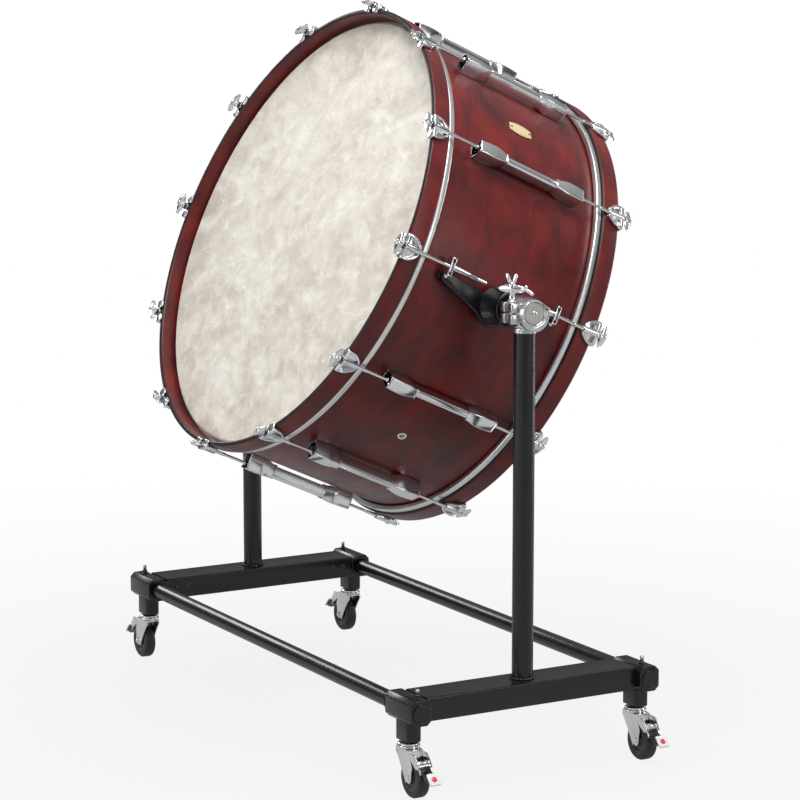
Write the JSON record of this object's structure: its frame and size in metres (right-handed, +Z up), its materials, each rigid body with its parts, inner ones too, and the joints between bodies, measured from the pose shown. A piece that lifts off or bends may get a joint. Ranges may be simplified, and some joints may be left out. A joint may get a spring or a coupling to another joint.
{
  "type": "bass drum",
  "caption": "Concert bass drum with two tensioned heads, hung on two trunnions so that it tilts, in a black steel stand on braked swivel casters.",
  "frame": {"origin": "on the floor, midway between the two posts and under the middle of the drum at rest", "axes": "+X from the left post to the right post, the batter head faces -Y, +Z up"},
  "size_m": [1.3824, 0.8692, 1.4674],
  "materials": {
    "stained_wood": "dark red stain under satin lacquer, black hoop edges",
    "head_film": "mottled fibre-filled film that looks like calfskin",
    "chrome": "polished plating",
    "black_steel": "satin powder coat",
    "black_rubber": "smooth dark tread",
    "zinc": "bright plated pressings",
    "gold": "pale gold plate",
    "pedal_plastic": "white tab with a red dot"
  },
  "bodies": {
    "stand": {"side_frame_left": "black_steel", "side_frame_right": "black_steel", "cross_member_front": "black_steel", "cross_member_rear": "black_steel"},
    "drum": {"shell": "stained_wood", "batter_head": "head_film", "resonant_head": "head_film", "batter_hoop": "stained_wood", "resonant_hoop": "stained_wood", "lug_02": "chrome", "lug_03": "chrome", "lug_04": "chrome", "lug_05": "chrome", "lug_06": "chrome", "lug_08": "chrome", "lug_09": "chrome", "lug_10": "chrome", "lug_11": "chrome", "lug_12": "chrome", "trunnion_bracket_left": "black_steel", "trunnion_bracket_right": "black_steel", "badge": "gold"},
    "batter_rod_01": {"batter_rod_01": "chrome"},
    "batter_rod_02": {"batter_rod_02": "chrome"},
    "batter_rod_03": {"batter_rod_03": "chrome"},
    "batter_rod_04": {"batter_rod_04": "chrome"},
    "batter_rod_05": {"batter_rod_05": "chrome"},
    "batter_rod_06": {"batter_rod_06": "chrome"},
    "batter_rod_07": {"batter_rod_07": "chrome"},
    "batter_rod_08": {"batter_rod_08": "chrome"},
    "batter_rod_09": {"batter_rod_09": "chrome"},
    "batter_rod_10": {"batter_rod_10": "chrome"},
    "batter_rod_11": {"batter_rod_11": "chrome"},
    "batter_rod_12": {"batter_rod_12": "chrome"},
    "resonant_rod_01": {"resonant_rod_01": "chrome"},
    "resonant_rod_02": {"resonant_rod_02": "chrome"},
    "resonant_rod_03": {"resonant_rod_03": "chrome"},
    "resonant_rod_04": {"resonant_rod_04": "chrome"},
    "resonant_rod_05": {"resonant_rod_05": "chrome"},
    "resonant_rod_06": {"resonant_rod_06": "chrome"},
    "resonant_rod_07": {"resonant_rod_07": "chrome"},
    "resonant_rod_08": {"resonant_rod_08": "chrome"},
    "resonant_rod_09": {"resonant_rod_09": "chrome"},
    "resonant_rod_10": {"resonant_rod_10": "chrome"},
    "resonant_rod_11": {"resonant_rod_11": "chrome"},
    "resonant_rod_12": {"resonant_rod_12": "chrome"},
    "tilt_bolt_left": {"tilt_bolt_left": "chrome"},
    "tilt_bolt_right": {"tilt_bolt_right": "chrome"},
    "caster_fork_front_left": {"caster_fork_front_left": "zinc"},
    "caster_wheel_front_left": {"caster_wheel_front_left": "black_rubber"},
    "brake_pedal_front_left": {"brake_pedal_front_left": "pedal_plastic"},
    "caster_fork_front_right": {"caster_fork_front_right": "zinc"},
    "caster_wheel_front_right": {"caster_wheel_front_right": "black_rubber"},
    "brake_pedal_front_right": {"brake_pedal_front_right": "pedal_plastic"},
    "caster_fork_rear_left": {"caster_fork_rear_left": "zinc"},
    "caster_wheel_rear_left": {"caster_wheel_rear_left": "black_rubber"},
    "brake_pedal_rear_left": {"brake_pedal_rear_left": "pedal_plastic"},
    "caster_fork_rear_right": {"caster_fork_rear_right": "zinc"},
    "caster_wheel_rear_right": {"caster_wheel_rear_right": "black_rubber"},
    "brake_pedal_rear_right": {"brake_pedal_rear_right": "pedal_plastic"}
  },
  "joints": [
    {"name": "drum_tilt", "type": "hinge", "parent": "stand", "child": "drum", "pos_m": [0, -0.01286, 0.895], "axis": [1, 0, 0], "range_deg": [-65.5, 114.5]},
    {"name": "tilt_bolt_left_turn", "type": "hinge", "parent": "stand", "child": "tilt_bolt_left", "pos_m": [-0.576, -0.04186, 0.895], "axis": [0, 0, 1], "continuous": true},
    {"name": "tilt_bolt_right_turn", "type": "hinge", "parent": "stand", "child": "tilt_bolt_right", "pos_m": [0.576, -0.04186, 0.895], "axis": [0, 0, 1], "continuous": true},
    {"name": "caster_swivel_front_left", "type": "hinge", "parent": "stand", "child": "caster_fork_front_left", "pos_m": [-0.585, -0.26886, 0.105], "axis": [0, 0, 1], "continuous": true},
    {"name": "wheel_spin_front_left", "type": "hinge", "parent": "caster_fork_front_left", "child": "caster_wheel_front_left", "pos_m": [-0.611, -0.26886, 0.0375], "axis": [0, 1, 0], "continuous": true},
    {"name": "brake_pedal_front_left_press", "type": "hinge", "parent": "caster_fork_front_left", "child": "brake_pedal_front_left", "pos_m": [-0.64323, -0.26886, 0.06819], "axis": [0, -1, 0], "range_deg": [0, 12]},
    {"name": "caster_swivel_front_right", "type": "hinge", "parent": "stand", "child": "caster_fork_front_right", "pos_m": [0.585, -0.26886, 0.105], "axis": [0, 0, 1], "continuous": true},
    {"name": "wheel_spin_front_right", "type": "hinge", "parent": "caster_fork_front_right", "child": "caster_wheel_front_right", "pos_m": [0.611, -0.26886, 0.0375], "axis": [0, 1, 0], "continuous": true},
    {"name": "brake_pedal_front_right_press", "type": "hinge", "parent": "caster_fork_front_right", "child": "brake_pedal_front_right", "pos_m": [0.64323, -0.26886, 0.06819], "axis": [0, 1, 0], "range_deg": [0, 12]},
    {"name": "caster_swivel_rear_left", "type": "hinge", "parent": "stand", "child": "caster_fork_rear_left", "pos_m": [-0.585, 0.24314, 0.105], "axis": [0, 0, 1], "continuous": true},
    {"name": "wheel_spin_rear_left", "type": "hinge", "parent": "caster_fork_rear_left", "child": "caster_wheel_rear_left", "pos_m": [-0.611, 0.24314, 0.0375], "axis": [0, 1, 0], "continuous": true},
    {"name": "brake_pedal_rear_left_press", "type": "hinge", "parent": "caster_fork_rear_left", "child": "brake_pedal_rear_left", "pos_m": [-0.64323, 0.24314, 0.06819], "axis": [0, -1, 0], "range_deg": [0, 12]},
    {"name": "caster_swivel_rear_right", "type": "hinge", "parent": "stand", "child": "caster_fork_rear_right", "pos_m": [0.585, 0.24314, 0.105], "axis": [0, 0, 1], "continuous": true},
    {"name": "wheel_spin_rear_right", "type": "hinge", "parent": "caster_fork_rear_right", "child": "caster_wheel_rear_right", "pos_m": [0.611, 0.24314, 0.0375], "axis": [0, 1, 0], "continuous": true},
    {"name": "brake_pedal_rear_right_press", "type": "hinge", "parent": "caster_fork_rear_right", "child": "brake_pedal_rear_right", "pos_m": [0.64323, 0.24314, 0.06819], "axis": [0, 1, 0], "range_deg": [0, 12]},
    {"name": "batter_rod_01_turn", "type": "hinge", "parent": "drum", "child": "batter_rod_01", "pos_m": [0.477, -0.21839, 1.02274], "axis": [0, -0.91, 0.4147], "continuous": true},
    {"name": "batter_rod_02_turn", "type": "hinge", "parent": "drum", "child": "batter_rod_02", "pos_m": [0.41309, -0.11949, 1.23976], "axis": [0, -0.91, 0.4147], "continuous": true},
    {"name": "batter_rod_03_turn", "type": "hinge", "parent": "drum", "child": "batter_rod_03", "pos_m": [0.2385, -0.04708, 1.39863], "axis": [0, -0.91, 0.4147], "continuous": true},
    {"name": "batter_rod_04_turn", "type": "hinge", "parent": "drum", "child": "batter_rod_04", "pos_m": [0, -0.02058, 1.45679], "axis": [0, -0.91, 0.4147], "continuous": true},
    {"name": "batter_rod_05_turn", "type": "hinge", "parent": "drum", "child": "batter_rod_05", "pos_m": [-0.2385, -0.04708, 1.39863], "axis": [0, -0.91, 0.4147], "continuous": true},
    {"name": "batter_rod_06_turn", "type": "hinge", "parent": "drum", "child": "batter_rod_06", "pos_m": [-0.41309, -0.11949, 1.23976], "axis": [0, -0.91, 0.4147], "continuous": true},
    {"name": "batter_rod_07_turn", "type": "hinge", "parent": "drum", "child": "batter_rod_07", "pos_m": [-0.477, -0.21839, 1.02274], "axis": [0, -0.91, 0.4147], "continuous": true},
    {"name": "batter_rod_08_turn", "type": "hinge", "parent": "drum", "child": "batter_rod_08", "pos_m": [-0.41309, -0.3173, 0.80571], "axis": [0, -0.91, 0.4147], "continuous": true},
    {"name": "batter_rod_09_turn", "type": "hinge", "parent": "drum", "child": "batter_rod_09", "pos_m": [-0.2385, -0.3897, 0.64684], "axis": [0, -0.91, 0.4147], "continuous": true},
    {"name": "batter_rod_10_turn", "type": "hinge", "parent": "drum", "child": "batter_rod_10", "pos_m": [0, -0.4162, 0.58868], "axis": [0, -0.91, 0.4147], "continuous": true},
    {"name": "batter_rod_11_turn", "type": "hinge", "parent": "drum", "child": "batter_rod_11", "pos_m": [0.2385, -0.3897, 0.64684], "axis": [0, -0.91, 0.4147], "continuous": true},
    {"name": "batter_rod_12_turn", "type": "hinge", "parent": "drum", "child": "batter_rod_12", "pos_m": [0.41309, -0.3173, 0.80571], "axis": [0, -0.91, 0.4147], "continuous": true},
    {"name": "resonant_rod_01_turn", "type": "hinge", "parent": "drum", "child": "resonant_rod_01", "pos_m": [0.477, 0.21839, 0.82368], "axis": [0, 0.91, -0.4147], "continuous": true},
    {"name": "resonant_rod_02_turn", "type": "hinge", "parent": "drum", "child": "resonant_rod_02", "pos_m": [0.41309, 0.3173, 1.04071], "axis": [0, 0.91, -0.4147], "continuous": true},
    {"name": "resonant_rod_03_turn", "type": "hinge", "parent": "drum", "child": "resonant_rod_03", "pos_m": [0.2385, 0.3897, 1.19958], "axis": [0, 0.91, -0.4147], "continuous": true},
    {"name": "resonant_rod_04_turn", "type": "hinge", "parent": "drum", "child": "resonant_rod_04", "pos_m": [0, 0.4162, 1.25773], "axis": [0, 0.91, -0.4147], "continuous": true},
    {"name": "resonant_rod_05_turn", "type": "hinge", "parent": "drum", "child": "resonant_rod_05", "pos_m": [-0.2385, 0.3897, 1.19958], "axis": [0, 0.91, -0.4147], "continuous": true},
    {"name": "resonant_rod_06_turn", "type": "hinge", "parent": "drum", "child": "resonant_rod_06", "pos_m": [-0.41309, 0.3173, 1.04071], "axis": [0, 0.91, -0.4147], "continuous": true},
    {"name": "resonant_rod_07_turn", "type": "hinge", "parent": "drum", "child": "resonant_rod_07", "pos_m": [-0.477, 0.21839, 0.82368], "axis": [0, 0.91, -0.4147], "continuous": true},
    {"name": "resonant_rod_08_turn", "type": "hinge", "parent": "drum", "child": "resonant_rod_08", "pos_m": [-0.41309, 0.11949, 0.60666], "axis": [0, 0.91, -0.4147], "continuous": true},
    {"name": "resonant_rod_09_turn", "type": "hinge", "parent": "drum", "child": "resonant_rod_09", "pos_m": [-0.2385, 0.04708, 0.44778], "axis": [0, 0.91, -0.4147], "continuous": true},
    {"name": "resonant_rod_10_turn", "type": "hinge", "parent": "drum", "child": "resonant_rod_10", "pos_m": [0, 0.02058, 0.38963], "axis": [0, 0.91, -0.4147], "continuous": true},
    {"name": "resonant_rod_11_turn", "type": "hinge", "parent": "drum", "child": "resonant_rod_11", "pos_m": [0.2385, 0.04708, 0.44778], "axis": [0, 0.91, -0.4147], "continuous": true},
    {"name": "resonant_rod_12_turn", "type": "hinge", "parent": "drum", "child": "resonant_rod_12", "pos_m": [0.41309, 0.11949, 0.60666], "axis": [0, 0.91, -0.4147], "continuous": true}
  ]
}
